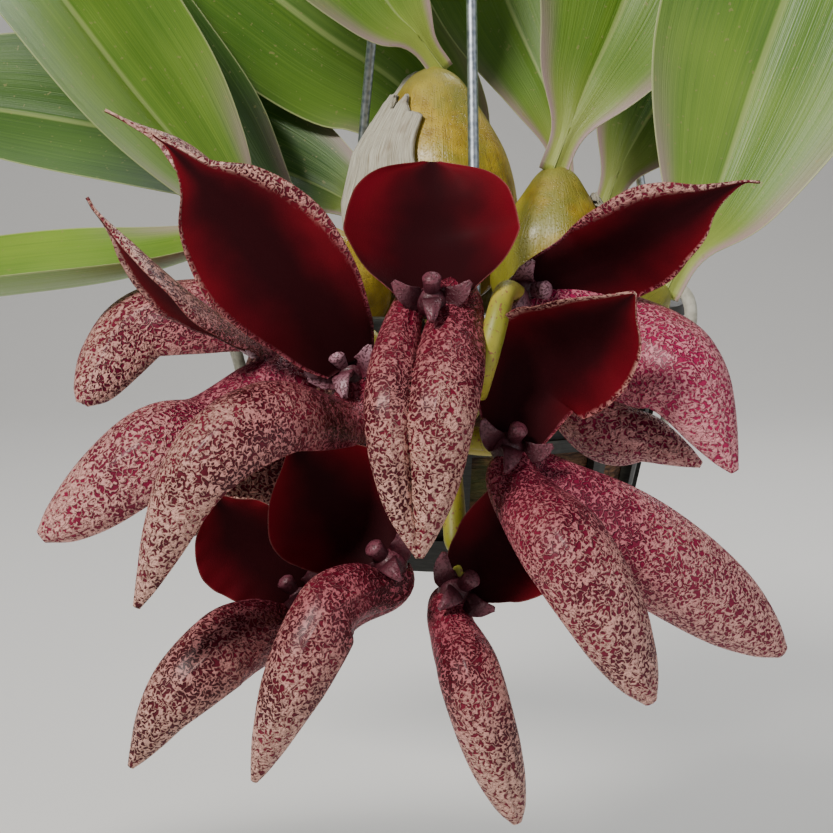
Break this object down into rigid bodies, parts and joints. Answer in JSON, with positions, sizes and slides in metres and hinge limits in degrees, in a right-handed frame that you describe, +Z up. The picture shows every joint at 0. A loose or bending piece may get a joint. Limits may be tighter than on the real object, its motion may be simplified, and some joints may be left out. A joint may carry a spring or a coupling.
{
  "type": "bulbophyllum orchid",
  "caption": "Bulbophyllum orchid in flower: dark velvety blooms with speckled fleshy outsides, pseudobulbs and broad leaves in a small net basket on a wire hanger with a hook.",
  "frame": {"origin": "seat of the hanging hook, where its bend rests on a rail, midway across the basket", "axes": "+Z up, the flowers face -Y, +X to the right of the picture"},
  "size_m": [0.2709, 0.1694, 0.3345],
  "materials": {
    "petal": "fleshy sepals, near-black maroon velvet inside and maroon under cream and pink worm-like blotches outside",
    "leaf": "thick smooth green leaf with a pale rim and midrib",
    "pseudobulb": "ochre skin, finely pitted, satin",
    "sheath": "dry papery fibres",
    "stalk": "yellow-green, flushed with maroon",
    "rhizome": "brown, with grey-green corky roots",
    "bark": "rough bark chips",
    "net_basket": "dark moulded plastic",
    "steel_wire": "galvanised wire"
  },
  "bodies": {
    "root": {"bark_bed": "bark", "basket": "net_basket", "bloom_a": "petal", "bloom_b": "petal", "bloom_c": "petal", "bloom_d": "petal", "bloom_e": "petal", "bloom_f": "petal", "bloom_g": "petal", "bloom_h": "petal", "bloom_i": "petal", "flower_stalk": "stalk", "hanger_hook": "steel_wire", "hanger_wire_front": "steel_wire", "hanger_wire_left": "steel_wire", "hanger_wire_right": "steel_wire", "leaf_1": "leaf", "leaf_2": "leaf", "leaf_3": "leaf", "leaf_4": "leaf", "leaf_5": "leaf", "leaf_6": "leaf", "leaf_7": "leaf", "leaf_8": "leaf", "leaf_9": "leaf", "leaf_10": "leaf", "pseudobulb_1": "pseudobulb", "pseudobulb_2": "pseudobulb", "pseudobulb_3": "pseudobulb", "pseudobulb_4": "pseudobulb", "pseudobulb_5": "pseudobulb", "pseudobulb_6": "pseudobulb", "pseudobulb_7": "pseudobulb", "pseudobulb_8": "pseudobulb", "pseudobulb_9": "pseudobulb", "pseudobulb_10": "pseudobulb", "rhizome": "rhizome", "sheath_1": "sheath", "sheath_2": "sheath", "sheath_3": "sheath"}
  },
  "joints": []
}
